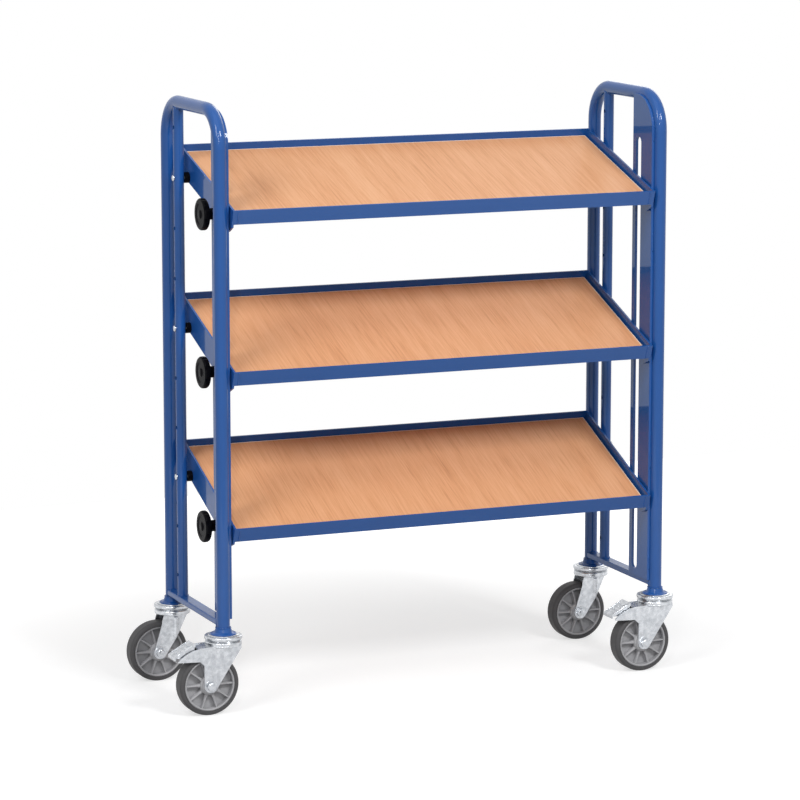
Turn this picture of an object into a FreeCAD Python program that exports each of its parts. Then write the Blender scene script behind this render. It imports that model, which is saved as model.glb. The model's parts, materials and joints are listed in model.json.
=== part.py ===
import FreeCAD, Part
import math
import os
import Sketcher

# Three-tier cart with tilting shelves between two tube end loops, on four swivel casters.
# Millimetres. +X runs along the cart, -Y is its front, +Z is up and the floor is Z = 0.
# The origin is the middle of the outer box on the floor.

doc = FreeCAD.newDocument("PanelCart")
sheet = doc.addObject("Spreadsheet::Sheet", "Sizes")
pieces = {}
Vector = FreeCAD.Vector
Rotation = FreeCAD.Rotation


# A size keeps its number and the sheet expression that gives it

class Size:
    def __init__(self, value, text):
        self.value = value
        self.text = text

    def __add__(self, other):
        other = as_size(other)
        return Size(self.value + other.value, f"({self.text} + {other.text})")

    def __sub__(self, other):
        other = as_size(other)
        return Size(self.value - other.value, f"({self.text} - {other.text})")

    def __mul__(self, other):
        other = as_size(other)
        return Size(self.value * other.value, f"({self.text} * {other.text})")

    def __truediv__(self, other):
        other = as_size(other)
        return Size(self.value / other.value, f"({self.text} / {other.text})")

    def __neg__(self):
        return Size(-self.value, f"(-1 * {self.text})")

    __radd__ = __add__
    __rmul__ = __mul__

    def __rsub__(self, other):
        return as_size(other) - self


def as_size(value):
    return value if isinstance(value, Size) else Size(value, repr(value))


def cosine(angle):
    return Size(math.cos(math.radians(angle.value)), f"cos({angle.text})")


def sine(angle):
    return Size(math.sin(math.radians(angle.value)), f"sin({angle.text})")


def cell(alias, value):
    row = cell.row
    cell.row += 1
    sheet.set(f"A{row}", alias)
    sheet.set(f"B{row}", str(value))
    sheet.setAlias(f"B{row}", alias)
    return Size(value, f"Sizes.{alias}")


cell.row = 1
ZERO = Size(0, "0")

# End loops
upright_spacing = cell("upright_spacing", 964.0)    # left to right, tube centre to tube centre
loop_depth = cell("loop_depth", 310.0)              # front to rear upright, tube centres
loop_height = cell("loop_height", 1206.0)           # floor to the centre of the loop's top bar
tube_od = cell("tube_od", 27.0)
tube_wall = cell("tube_wall", 2.6)
bend_radius = cell("bend_radius", 72.0)             # at the tube's centre line
weld_gap = cell("weld_gap", 0.05)                   # between pieces that are welded together
foot_height = cell("foot_height", 160.0)            # floor to the lower end of the uprights
bar_height = cell("bar_height", 12.0)
bar_width = cell("bar_width", 26.0)
bar_wall = cell("bar_wall", 2.0)
bar_edge = cell("bar_edge", 3.0)
bar_lift = cell("bar_lift", 18.0)                   # cross bar's underside above the uprights' ends

# Posts with a row of holes
post_od = cell("post_od", 21.5)
post_wall = cell("post_wall", 2.0)
post_setback = cell("post_setback", 68.2)           # post centre to rear upright centre
hole_first = cell("hole_first", 234.4)              # floor to the lowest hole
hole_top_gap = cell("hole_top_gap", 50.9)           # highest hole below the loop's centre line
hole_clearance = cell("hole_clearance", 0.05)       # round a bolt, at the radius
HOLE_COUNT = 10

# Slotted guide plates
guide_thick = cell("guide_thick", 5.5)
guide_strip = cell("guide_strip", 13.0)             # strip behind the slot
guide_lift = cell("guide_lift", 30.0)               # plate's lower edge above the uprights' ends
slot_clearance = cell("slot_clearance", 0.75)       # clamp bolt to the slot's sides at the tilt limits
slot_margin = cell("slot_margin", 14.0)             # plate left below the slot
slot_top_drop = cell("slot_top_drop", 88.0)         # slot's top end below the loop's centre line

# Shelves, measured square to the shelf from its rear pivot
clamp_setback = cell("clamp_setback", 53.8)         # clamp bolt behind the front upright, shelf level
clamp_to_front = cell("clamp_to_front", 74.6)
pivot_to_rear = cell("pivot_to_rear", 71.3)
clamp_rise = cell("clamp_rise", 4.0)                # clamp bolt above the pivot
rail_rise = cell("rail_rise", 12.3)                 # underside of the angle rails above the pivot
rail_height = cell("rail_height", 30.0)
rail_leg = cell("rail_leg", 25.0)
rail_thick = cell("rail_thick", 3.0)
side_height = cell("side_height", 52.0)
side_thick = cell("side_thick", 4.0)
side_tab = cell("side_tab", 11.0)                   # front end folded in, from the outer face
side_corner = cell("side_corner", 16.0)             # cut off the lower front corner
board_thick = cell("board_thick", 13.0)
board_gap = cell("board_gap", 1.5)                  # board's front and rear edges to the rails
board_end_gap = cell("board_end_gap", 5.0)          # board's ends to the side rails
board_edge = cell("board_edge", 1.0)                # rounding of the board's upper edges
disc_thick = cell("disc_thick", 1.4)
disc_radius = cell("disc_radius", 17.0)
bush_radius = cell("bush_radius", 11.0)
slide_gap = cell("slide_gap", 0.3)                  # between faces that slide past each other
tilt_top = cell("tilt_top", 17.9)                   # degrees, front edge down
tilt_middle = cell("tilt_middle", 21.1)
tilt_bottom = cell("tilt_bottom", 23.1)
tilt_limit = cell("tilt_limit", 24.0)
SHELVES = (("top", tilt_top, 8), ("middle", tilt_middle, 5), ("bottom", tilt_bottom, 2))

# Bolts and hand knobs
bolt_radius = cell("bolt_radius", 4.0)
bolt_flats = cell("bolt_flats", 13.0)
bolt_head = cell("bolt_head", 5.5)
button_radius = cell("button_radius", 6.0)          # low round head of the pivot bolts
button_height = cell("button_height", 2.6)
button_edge = cell("button_edge", 1.0)
knob_radius = cell("knob_radius", 32.0)
knob_thick = cell("knob_thick", 13.0)
knob_rim = cell("knob_rim", 4.0)
knob_hub_radius = cell("knob_hub_radius", 11.5)
knob_hub_length = cell("knob_hub_length", 21.0)
knob_cap = cell("knob_cap", 5.0)                    # knob left over the bolt's end
knob_dish = cell("knob_dish", 1.2)                  # depth of the hollow in the outer face
lobe_radius = cell("lobe_radius", 9.0)
lobe_depth = cell("lobe_depth", 1.8)
LOBES = 8

# Casters
wheel_radius = cell("wheel_radius", 62.5)
tyre_width = cell("tyre_width", 34.0)
tyre_shoulder = cell("tyre_shoulder", 7.0)
rim_radius = cell("rim_radius", 52.8)
rim_thick = cell("rim_thick", 4.0)
rim_width = cell("rim_width", 31.0)
web_thick = cell("web_thick", 5.0)
hub_radius = cell("hub_radius", 17.0)
rib_thick = cell("rib_thick", 3.0)
rib_width = cell("rib_width", 26.0)
RIBS = 10
trail = cell("trail", 35.0)                         # axle behind the swivel axis
axle_radius = cell("axle_radius", 5.0)
axle_flats = cell("axle_flats", 17.0)
axle_head = cell("axle_head", 6.0)
run_gap = cell("run_gap", 0.05)                     # running fit, at the radius
fork_inside = cell("fork_inside", 42.0)
fork_wall = cell("fork_wall", 3.0)
fork_boss = cell("fork_boss", 14.0)
fork_front = cell("fork_front", 30.0)               # leg's upper front corner, ahead of the swivel axis
fork_rear = cell("fork_rear", 26.0)                 # leg's upper rear corner
fork_fold = cell("fork_fold", 25.0)                 # degrees, plain leg's front part turned inward
fork_shoulder = cell("fork_shoulder", 34.0)         # height from the crown to where the brake leg widens
head_radius = cell("head_radius", 38.5)
head_thick = cell("head_thick", 7.5)
head_edge = cell("head_edge", 2.5)
race_radius = cell("race_radius", 27.0)
race_bore = cell("race_bore", 19.0)
race_thick = cell("race_thick", 2.6)
crown_radius = cell("crown_radius", 37.0)
crown_thick = cell("crown_thick", 11.0)
crown_edge = cell("crown_edge", 3.5)
kingpin_radius = cell("kingpin_radius", 6.0)
kingpin_flats = cell("kingpin_flats", 19.0)
kingpin_nut = cell("kingpin_nut", 7.0)
collar_radius = cell("collar_radius", 25.0)
collar_neck = cell("collar_neck", 1.6)              # collar's wall at its upper end
collar_height = cell("collar_height", 15.0)
collar_waist = cell("collar_waist", 6.0)            # height where the flare turns upright
arm_reach = cell("arm_reach", 103.0)                # brake arm's tip behind the swivel axis
arm_tip_drop = cell("arm_tip_drop", 24.0)           # upper edge's fall from the crown to the tip
arm_tip_depth = cell("arm_tip_depth", 3.0)
arm_depth = cell("arm_depth", 17.0)
roof_reach = cell("roof_reach", 58.0)
roof_wall = cell("roof_wall", 2.5)
pedal_reach = cell("pedal_reach", 110.0)
pedal_pin = cell("pedal_pin", 84.0)                 # pedal's pin behind the swivel axis
pedal_pin_drop = cell("pedal_pin_drop", 16.0)       # pin below the crown's underside
pedal_pin_radius = cell("pedal_pin_radius", 3.0)
pedal_thick = cell("pedal_thick", 3.0)
pedal_length = cell("pedal_length", 50.0)
pedal_lug = cell("pedal_lug", 16.0)                 # width of the lug that holds the pin
pedal_rise = cell("pedal_rise", 11.0)               # pedal's upper end above the crown's underside
pedal_slope = cell("pedal_slope", 29.0)             # degrees
pedal_side_gap = cell("pedal_side_gap", 1.0)

ARM_SHARES = (1.0, 0.94, 0.85, 0.73, 0.58, 0.4)      # points along the arm's curved upper edge, tip first
FOOT_REACH = 0.8                                     # corners of a leg's foot, in boss radii from the axle
FOOT_DROP = 0.6
FLARE_WALLS = 3                                      # a collar's wall at its waist, in walls of its neck
LUG_RADII = 3                                        # half the pedal's lug, in radii of its pin
CORNERS = (("front_left", -1, -1), ("front_right", 1, -1), ("rear_left", -1, 1), ("rear_right", 1, 1))
SIDES = (("left", -1), ("right", 1))

# Places that several pieces share
middle_x = (pedal_reach - head_radius) / 2          # cart's middle from the outer box's middle
tube_radius = tube_od / 2
post_y = loop_depth / 2 - post_setback
hole_pitch = (loop_height - hole_top_gap - hole_first) / (HOLE_COUNT - 1)
pivot_to_clamp = loop_depth - post_setback - clamp_setback
pivot_to_front = pivot_to_clamp + clamp_to_front
bar_bottom = foot_height + bar_lift
bar_top = bar_bottom + bar_height
inner_x = upright_spacing / 2 - tube_radius - weld_gap         # guide plate's outer face
guide_inner_x = inner_x - guide_thick
side_outer_x = guide_inner_x - slide_gap - disc_thick          # shelf side's outer face
side_inner_x = side_outer_x - side_thick
side_bottom = rail_rise + rail_height - side_height
board_bottom = rail_rise + rail_thick
slot_front = post_y - pivot_to_clamp - bolt_radius - slot_clearance
clamp_rear = post_y - pivot_to_clamp * cosine(tilt_limit) - clamp_rise * sine(tilt_limit)
slot_rear = clamp_rear + bolt_radius + slot_clearance
guide_rear = slot_rear + guide_strip
head_bottom = foot_height - head_thick
crown_top = head_bottom - race_thick
crown_bottom = crown_top - crown_thick
fork_outside = fork_inside / 2 + fork_wall
fold_bottom = wheel_radius + fork_boss * 2          # lower end of the plain leg's fold


# Document helpers

def bind(obj, **sizes):
    for prop, value in sizes.items():
        obj.setExpression(prop, as_size(value).text)


def place(obj, x=ZERO, y=ZERO, z=ZERO, axis=None, angle=ZERO):
    if axis is not None:
        start = as_size(angle).value or 1.0
        obj.Placement = FreeCAD.Placement(Vector(), Rotation(axis, start))
        obj.setExpression("Placement.Rotation.Angle", as_size(angle).text)
    obj.setExpression("Placement.Base.x", as_size(x).text)
    obj.setExpression("Placement.Base.y", as_size(y).text)
    obj.setExpression("Placement.Base.z", as_size(z).text)
    return obj


def block(name, length, width, height, x=ZERO, y=ZERO, z=ZERO):
    obj = doc.addObject("Part::Box", name)
    bind(obj, Length=length, Width=width, Height=height)
    return place(obj, x, y, z)


AXIS_TURN = {"x": (Vector(0, 1, 0), 90), "y": (Vector(1, 0, 0), -90), "z": (None, 0)}


def rod(name, radius, length, x=ZERO, y=ZERO, z=ZERO, along="z"):
    obj = doc.addObject("Part::Cylinder", name)
    bind(obj, Radius=radius, Height=length)
    axis, angle = AXIS_TURN[along]
    return place(obj, x, y, z, axis, angle)


def hexagon(name, flats, length, x=ZERO, y=ZERO, z=ZERO, along="z"):
    obj = doc.addObject("Part::Prism", name)
    obj.Polygon = 6
    bind(obj, Circumradius=flats / math.sqrt(3), Height=length)
    axis, angle = AXIS_TURN[along]
    return place(obj, x, y, z, axis, angle)


def fuse(name, *parts):
    obj = doc.addObject("Part::MultiFuse", name)
    obj.Shapes = list(parts)
    obj.Refine = True
    return obj


def cut(name, base, *tools):
    obj = doc.addObject("Part::Cut", name)
    obj.Base = base
    obj.Tool = tools[0] if len(tools) == 1 else group(name + "_tools", *tools)
    return obj


def group(name, *parts):
    obj = doc.addObject("Part::Compound", name)
    obj.Links = list(parts)
    return obj


def rounded_rod(name, radius, length, edge_radius, x=ZERO, y=ZERO, z=ZERO, along="z"):
    """Cylinder with both rims rounded."""
    body = doc.addObject("PartDesign::Body", name)
    core = body.newObject("PartDesign::AdditiveCylinder", name + "_core")
    bind(core, Radius=radius, Height=length)
    soften(body, core, edge_radius, lambda edge, middle: edge.Closed)
    axis, angle = AXIS_TURN[along]
    return place(body, x, y, z, axis, angle)


def rounded_block(name, length, width, height, edge_radius, picks, x=ZERO, y=ZERO, z=ZERO):
    """Box with the edges rounded that picks accepts, before it is moved from its own corner."""
    body = doc.addObject("PartDesign::Body", name)
    core = body.newObject("PartDesign::AdditiveBox", name + "_core")
    bind(core, Length=length, Width=width, Height=height)
    soften(body, core, edge_radius, picks)
    return place(body, x, y, z)


def soften(body, core, edge_radius, picks):
    doc.recompute()
    names = []
    for number, edge in enumerate(core.Shape.Edges, 1):
        middle = edge.valueAt((edge.FirstParameter + edge.LastParameter) / 2)
        if picks(edge, middle):
            names.append(f"Edge{number}")
    fillet = body.newObject("PartDesign::Fillet", body.Name + "_soft")
    fillet.Base = (core, names)
    bind(fillet, Radius=edge_radius)


def outline(body, role, corners):
    """Closed sketch of straight edges on one of the body's own planes."""
    sketch = body.newObject("Sketcher::SketchObject", body.Name + "_outline")
    plane = [feature for feature in body.Origin.OriginFeatures if feature.Role == role][0]
    sketch.AttachmentSupport = [(plane, "")]
    sketch.MapMode = "FlatFace"
    points = [(as_size(u), as_size(v)) for u, v in corners]
    count = len(points)
    for index in range(count):
        (u, v), (u_next, v_next) = points[index], points[(index + 1) % count]
        start = Vector(u.value, v.value, 0)
        end = Vector(u_next.value, v_next.value, 0)
        sketch.addGeometry(Part.LineSegment(start, end), False)
    for index in range(count):
        sketch.addConstraint(Sketcher.Constraint("Coincident", index, 2, (index + 1) % count, 1))
    for index, (u, v) in enumerate(points):
        fix_point(sketch, index, "DistanceX", u, -2)
        fix_point(sketch, index, "DistanceY", v, -1)
    return sketch


def fix_point(sketch, index, kind, value, axis):
    if value.value == 0:
        sketch.addConstraint(Sketcher.Constraint("PointOnObject", index, 1, axis))
        return
    number = sketch.addConstraint(Sketcher.Constraint(kind, -1, 1, index, 1, value.value))
    sketch.setExpression(f"Constraints[{number}]", value.text)


def plate(name, role, corners, thickness):
    """Flat plate: an outline padded evenly to both sides of its plane."""
    body = doc.addObject("PartDesign::Body", name)
    pad = body.newObject("PartDesign::Pad", name + "_pad")
    pad.Profile = outline(body, role, corners)
    bind(pad, Length=thickness)
    pad.SideType = "Symmetric"
    return body


def turned(name, corners):
    """Solid of revolution about Z; corners are radius and height."""
    body = doc.addObject("PartDesign::Body", name)
    revolution = body.newObject("PartDesign::Revolution", name + "_turn")
    sketch = outline(body, "XZ_Plane", corners)
    revolution.Profile = sketch
    revolution.ReferenceAxis = (sketch, ["V_Axis"])
    revolution.Angle = 360
    return body


def piece(node, obj):
    obj.Label = node
    pieces[node] = obj
    return obj


# End loops

def loop_solid(name, radius):
    """Upright, bend, top bar, bend and upright of one round section, in the plane X = 0."""
    half = loop_depth / 2
    straight = loop_height - bend_radius
    parts = [
        rod(name + "_front", radius, straight - foot_height, y=-half, z=foot_height),
        rod(name + "_rear", radius, straight - foot_height, y=half, z=foot_height),
        rod(name + "_top", radius, loop_depth - bend_radius * 2, y=bend_radius - half, z=loop_height, along="y"),
    ]
    # Quarter rings stand upright; the turn picks the quarter that joins upright and top bar
    stand_up = Rotation(Vector(0, 0, 1), Vector(1, 0, 0))
    for side, sign, turn in (("front", -1, 180), ("rear", 1, 90)):
        ring = doc.addObject("Part::Torus", f"{name}_{side}_bend")
        bind(ring, Radius1=bend_radius, Radius2=radius)
        ring.Angle3 = 90
        ring.Placement = FreeCAD.Placement(Vector(), stand_up.multiply(Rotation(Vector(0, 0, 1), turn)))
        parts.append(place(ring, y=sign * (half - bend_radius), z=straight))
    return fuse(name, *parts)


def make_loops():
    for side, sign in SIDES:
        node = f"{side}_loop_tube"
        outside = loop_solid(node + "_outside", tube_radius)
        inside = loop_solid(node + "_inside", tube_radius - tube_wall)
        piece(node, place(cut(node, outside, inside), x=middle_x + sign * upright_spacing / 2))


def make_cross_bars():
    """Flat box tubes between the uprights, with their ends hollowed to fit the round tubes."""
    half = loop_depth / 2
    for side, sign in SIDES:
        node = f"{side}_cross_bar"
        outside = rounded_block(node + "_outside", bar_width, loop_depth, bar_height, bar_edge, along_y,
                                -bar_width / 2, -half)
        inside = block(node + "_inside", bar_width - bar_wall * 2, loop_depth, bar_height - bar_wall * 2,
                       bar_wall - bar_width / 2, -half, bar_wall)
        ends = [rod(f"{node}_{end}", tube_radius + weld_gap, bar_height, y=place_y)
                for end, place_y in (("front_end", -half), ("rear_end", half))]
        bar = cut(node, outside, inside, *ends)
        piece(node, place(bar, x=middle_x + sign * upright_spacing / 2, z=bar_bottom))


def along_y(edge, middle):
    return abs(edge.tangentAt(edge.FirstParameter).y) > 0.9


def make_posts():
    """Round tubes from the cross bars up to the loops, with their upper ends hollowed to fit the loops."""
    bottom = bar_top + weld_gap
    length = loop_height - bottom
    hole_radius = bolt_radius + hole_clearance
    for side, sign in SIDES:
        node = f"{side}_hole_post"
        outside = rod(node + "_outside", post_od / 2, length, y=post_y, z=bottom)
        bore = rod(node + "_bore", post_od / 2 - post_wall, length, y=post_y, z=bottom)
        holes = []
        for index in range(HOLE_COUNT):
            height = hole_first + index * hole_pitch
            holes.append(rod(f"{node}_hole{index}", hole_radius, post_od * 2, -post_od, post_y, height, "x"))
        saddle = loop_solid(node + "_saddle", tube_radius + weld_gap)
        drilled = cut(node + "_drilled", outside, bore, *holes)
        piece(node, place(cut(node, drilled, saddle), x=middle_x + sign * upright_spacing / 2))


def make_guides():
    bottom = foot_height + guide_lift
    front = -loop_depth / 2
    slot_bottom = bottom + slot_margin
    slot_top = loop_height - slot_top_drop
    slot_radius = (slot_rear - slot_front) / 2
    slot_y = (slot_rear + slot_front) / 2
    for side, sign in SIDES:
        node = f"{side}_guide_plate"
        blank = block(node + "_blank", guide_thick, guide_rear - front, loop_height - bottom, y=front, z=bottom)
        straight = loop_height - bend_radius
        waste = cut(
            node + "_waste",
            block(node + "_corner", guide_thick, bend_radius, bend_radius, y=front, z=straight),
            rod(node + "_bend", bend_radius, guide_thick, y=front + bend_radius, z=straight, along="x"))
        slot = fuse(
            node + "_slot",
            block(node + "_slot_run", guide_thick, slot_radius * 2, slot_top - slot_bottom - slot_radius * 2,
                  y=slot_front, z=slot_bottom + slot_radius),
            rod(node + "_slot_low", slot_radius, guide_thick, y=slot_y, z=slot_bottom + slot_radius, along="x"),
            rod(node + "_slot_high", slot_radius, guide_thick, y=slot_y, z=slot_top - slot_radius, along="x"))
        left = -inner_x if sign < 0 else guide_inner_x
        piece(node, place(cut(node, blank, waste, slot), x=middle_x + left))


def make_foot_collars():
    bore = tube_radius + weld_gap
    collars = []
    for corner, sign_x, sign_y in CORNERS:
        collar = turned(f"{corner}_collar", [
            (bore, weld_gap), (collar_radius, weld_gap), (collar_radius, weld_gap + collar_neck),
            (bore + collar_neck * FLARE_WALLS, collar_waist), (bore + collar_neck, collar_height),
            (bore, collar_height)])
        collars.append(place(collar, middle_x + sign_x * upright_spacing / 2, sign_y * loop_depth / 2, foot_height))
    piece("foot_collars", group("foot_collars", *collars))


# Shelf pieces, made level with the rear pivot at the origin and then tilted into place

def seat(shelf, obj):
    """Puts a level shelf piece on its pivot bolts at the shelf's own tilt."""
    name, tilt, hole = shelf
    height = hole_first + hole * hole_pitch
    return place(obj, middle_x, post_y, height, Vector(1, 0, 0), tilt)


def angle_rail(name, end_x, outer_y, inward):
    """Angle section that ends at end_x on both sides: an upright leg at outer_y and a foot that points inward."""
    length = end_x * 2 - weld_gap * 2
    upright_y = outer_y if inward > 0 else outer_y - rail_thick
    foot_y = outer_y if inward > 0 else outer_y - rail_leg
    upright = block(name + "_leg", length, rail_thick, rail_height, -length / 2, upright_y, rail_rise)
    foot = block(name + "_foot", length, rail_leg, rail_thick, -length / 2, foot_y, rail_rise)
    return fuse(name, upright, foot)


def make_rails(shelf):
    name = shelf[0]
    front = angle_rail(f"{name}_front_rail", side_outer_x - side_tab, -pivot_to_front, 1)
    rear = angle_rail(f"{name}_rear_rail", side_inner_x, pivot_to_rear, -1)
    piece(f"{name}_front_rail", seat(shelf, front))
    piece(f"{name}_rear_rail", seat(shelf, rear))


def make_side_rail(shelf, side, sign):
    """Plate on edge with its front end folded in, a ledge under the board and two bolt holes."""
    node = f"{shelf[0]}_{side}_side_rail"
    front = -pivot_to_front
    length = pivot_to_front + pivot_to_rear
    left = side_inner_x if sign > 0 else -side_outer_x
    strip = plate(node + "_strip", "YZ_Plane", side_outline(), side_thick)
    place(strip, left + side_thick / 2)
    tab_x = side_outer_x - side_tab if sign > 0 else -side_outer_x
    tab = block(node + "_tab", side_tab, rail_thick, rail_height, tab_x, front, rail_rise)
    hole_radius = bolt_radius + hole_clearance
    bores = [rod(node + "_pivot_hole", hole_radius, side_thick, left, along="x"),
             rod(node + "_clamp_hole", hole_radius, side_thick, left, -pivot_to_clamp, clamp_rise, along="x")]
    ledge_length = length - (rail_leg + weld_gap) * 2
    ledge_x = left - rail_leg if sign > 0 else left + side_thick
    ledge = block(node + "_ledge", rail_leg, ledge_length, rail_thick, ledge_x,
                  front + rail_leg + weld_gap, rail_rise)
    piece(node, seat(shelf, cut(node, fuse(node + "_body", strip, tab, ledge), *bores)))


def side_outline():
    """A side rail seen from its end: a long strip whose lower front corner is cut off."""
    front, rear = -pivot_to_front, pivot_to_rear
    top = rail_rise + rail_height
    return [(front, top), (front, side_bottom + side_corner), (front + side_corner, side_bottom),
            (rear, side_bottom), (rear, top)]


def make_board(shelf):
    node = f"{shelf[0]}_board"
    rails = rail_thick + board_gap
    length = (side_inner_x - board_end_gap) * 2
    depth = pivot_to_front + pivot_to_rear - rails * 2
    slab = rounded_block(node + "_slab", length, depth, board_thick, board_edge, board_top_edge,
                         -length / 2, rails - pivot_to_front, board_bottom)
    piece(node, seat(shelf, group(node, slab)))


def board_top_edge(edge, middle):
    return abs(middle.z - board_thick.value) < 0.01


def make_clamp_bolts(shelf):
    """Bolts fixed in the side rails, with their heads inside and their ends in the knobs."""
    node = f"{shelf[0]}_clamp_bolts"
    tip = inner_x + slide_gap + knob_hub_length + knob_thick - knob_cap - run_gap
    bolts = []
    for side, sign in SIDES:
        start = side_inner_x if sign > 0 else -tip
        head_x = side_inner_x - bolt_head if sign > 0 else -side_inner_x
        shank = rod(f"{node}_{side}_shank", bolt_radius, tip - side_inner_x, start, -pivot_to_clamp, clamp_rise, "x")
        head = hexagon(f"{node}_{side}_head", bolt_flats, bolt_head, head_x, -pivot_to_clamp, clamp_rise, "x")
        bolts.append(fuse(f"{node}_{side}", shank, head))
    piece(node, seat(shelf, group(node, *bolts)))


def make_spacers(shelf):
    """Black bushes at the pivots and friction discs at the clamps."""
    node = f"{shelf[0]}_spacers"
    bush_length = upright_spacing / 2 - post_od / 2 - slide_gap - side_outer_x
    bore = bolt_radius + hole_clearance
    rings = []
    for side, sign in SIDES:
        bush_x = side_outer_x if sign > 0 else -side_outer_x - bush_length
        disc_x = side_outer_x if sign > 0 else -side_outer_x - disc_thick
        bush = cut(f"{node}_{side}_bush",
                   rod(f"{node}_{side}_bush_body", bush_radius, bush_length, bush_x, along="x"),
                   rod(f"{node}_{side}_bush_bore", bore, bush_length, bush_x, along="x"))
        disc = cut(f"{node}_{side}_disc",
                   rod(f"{node}_{side}_disc_body", disc_radius, disc_thick, disc_x, -pivot_to_clamp, clamp_rise, "x"),
                   rod(f"{node}_{side}_disc_bore", bore, disc_thick, disc_x, -pivot_to_clamp, clamp_rise, "x"))
        rings += [bush, disc]
    piece(node, seat(shelf, group(node, *rings)))


def make_knob(shelf, side, sign):
    """Hand knob on the clamp bolt: a lobed disc with a hub that faces the guide plate."""
    node = f"{shelf[0]}_{side}_knob"
    inside = inner_x + slide_gap
    hub_x = inside if sign > 0 else -inside - knob_hub_length
    disc_x = inside + knob_hub_length if sign > 0 else -inside - knob_hub_length - knob_thick
    y, z = -pivot_to_clamp, clamp_rise
    disc = rounded_rod(node + "_disc", knob_radius, knob_thick, knob_rim, disc_x, y, z, "x")
    hub = rod(node + "_hub", knob_hub_radius, knob_hub_length + knob_thick / 2,
              hub_x if sign > 0 else hub_x - knob_thick / 2, y, z, "x")
    lobe_circle = knob_radius + lobe_radius - lobe_depth
    scallops = []
    for index in range(LOBES):
        turn = math.radians(360 / LOBES * index)
        scallops.append(rod(f"{node}_scallop{index}", lobe_radius, knob_thick, disc_x,
                            y + lobe_circle * math.cos(turn), z + lobe_circle * math.sin(turn), "x"))
    bore_length = knob_hub_length + knob_thick - knob_cap
    bore_x = inside if sign > 0 else -inside - bore_length
    bore = rod(node + "_bore", bolt_radius + run_gap, bore_length, bore_x, y, z, "x")
    face_x = disc_x + knob_thick - knob_dish if sign > 0 else disc_x
    dish = rod(node + "_dish", knob_radius - lobe_depth - knob_rim * 2, knob_dish, face_x, y, z, "x")
    knob = cut(node, fuse(node + "_body", disc, hub), bore, dish, *scallops)
    piece(node, seat(shelf, knob))


def make_pivot_bolts():
    """One bolt at each end of each shelf: head outside the post, nut inside the shelf's side."""
    outside = upright_spacing / 2 + post_od / 2 + weld_gap
    bolts = []
    for shelf, tilt, hole in SHELVES:
        height = hole_first + hole * hole_pitch
        for side, sign in SIDES:
            name = f"{shelf}_{side}_pivot_bolt"
            nut_inside = side_inner_x - slide_gap - bolt_head
            start = nut_inside if sign > 0 else -outside
            shank = rod(name + "_shank", bolt_radius, outside - nut_inside, start, along="x")
            head_x = outside if sign > 0 else -outside - button_height
            head = rounded_rod(name + "_head", button_radius, button_height, button_edge, head_x, along="x")
            nut_x = nut_inside if sign > 0 else -nut_inside - bolt_head
            nut = hexagon(name + "_nut", bolt_flats, bolt_head, nut_x, along="x")
            bolts.append(place(fuse(name, shank, head, nut), middle_x, post_y, height))
    piece("pivot_bolts", group("pivot_bolts", *bolts))


# Casters, made round a swivel axis at X = 0, Y = 0 and then set under an upright

def under(corner, obj):
    name, sign_x, sign_y = corner
    return place(obj, middle_x + sign_x * upright_spacing / 2, sign_y * loop_depth / 2)


def make_swivel_heads():
    """Fixed upper plates, the ball race rings under them and the kingpins that hold the forks."""
    heads = []
    races = []
    pins = []
    pin_hole = kingpin_radius + weld_gap
    top = foot_height
    nut_top = crown_bottom - slide_gap
    for corner in CORNERS:
        name = corner[0]
        disc = rounded_rod(f"{name}_head_disc", head_radius, head_thick, head_edge, z=head_bottom)
        head = cut(f"{name}_head", disc, rod(f"{name}_head_bore", pin_hole, head_thick, z=head_bottom))
        heads.append(under(corner, head))
        ring = rod(f"{name}_race_body", race_radius, race_thick - slide_gap, z=crown_top + slide_gap)
        race = cut(f"{name}_race", ring, rod(f"{name}_race_bore", race_bore, race_thick, z=crown_top))
        races.append(under(corner, race))
        shank = rod(f"{name}_kingpin_shank", kingpin_radius, top - nut_top + kingpin_nut, z=nut_top - kingpin_nut)
        nut = hexagon(f"{name}_kingpin_nut", kingpin_flats, kingpin_nut, z=nut_top - kingpin_nut)
        pins.append(under(corner, fuse(f"{name}_kingpin", shank, nut)))
    piece("swivel_heads", group("swivel_heads", *heads))
    piece("ball_races", group("ball_races", *races))
    piece("kingpins", group("kingpins", *pins))


def fork_leg_corners(braked):
    """Outline of a fork leg, X from the swivel axis and Z from the floor; the axle boss is added apart."""
    axle_x, axle_z = -trail, wheel_radius
    top = crown_bottom + crown_edge
    front = [(ZERO, top), (ZERO, fold_bottom)]
    if braked:
        front = [(fork_front, top), (fork_front, crown_bottom - crown_edge)]
    reach, foot_z = fork_boss * FOOT_REACH, axle_z - fork_boss * FOOT_DROP
    foot = [(axle_x + reach, foot_z), (axle_x - reach, foot_z)]
    if not braked:
        return front + foot + [(axle_x - fork_boss, axle_z), (-fork_rear, crown_bottom), (-fork_rear, top)]
    tip_z = top - arm_tip_drop
    shoulder_z = crown_bottom - fork_shoulder
    arm = [(axle_x - fork_boss, axle_z), (axle_x - fork_boss, shoulder_z),
           (axle_x - fork_boss - arm_depth / 2, shoulder_z + arm_depth / 2), (-arm_reach, tip_z - arm_tip_depth)]
    crest = [(-fork_rear - (arm_reach - fork_rear) * share, top - arm_tip_drop * share ** 3) for share in ARM_SHARES]
    return front + foot + arm + crest + [(-fork_rear, top)]


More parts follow.
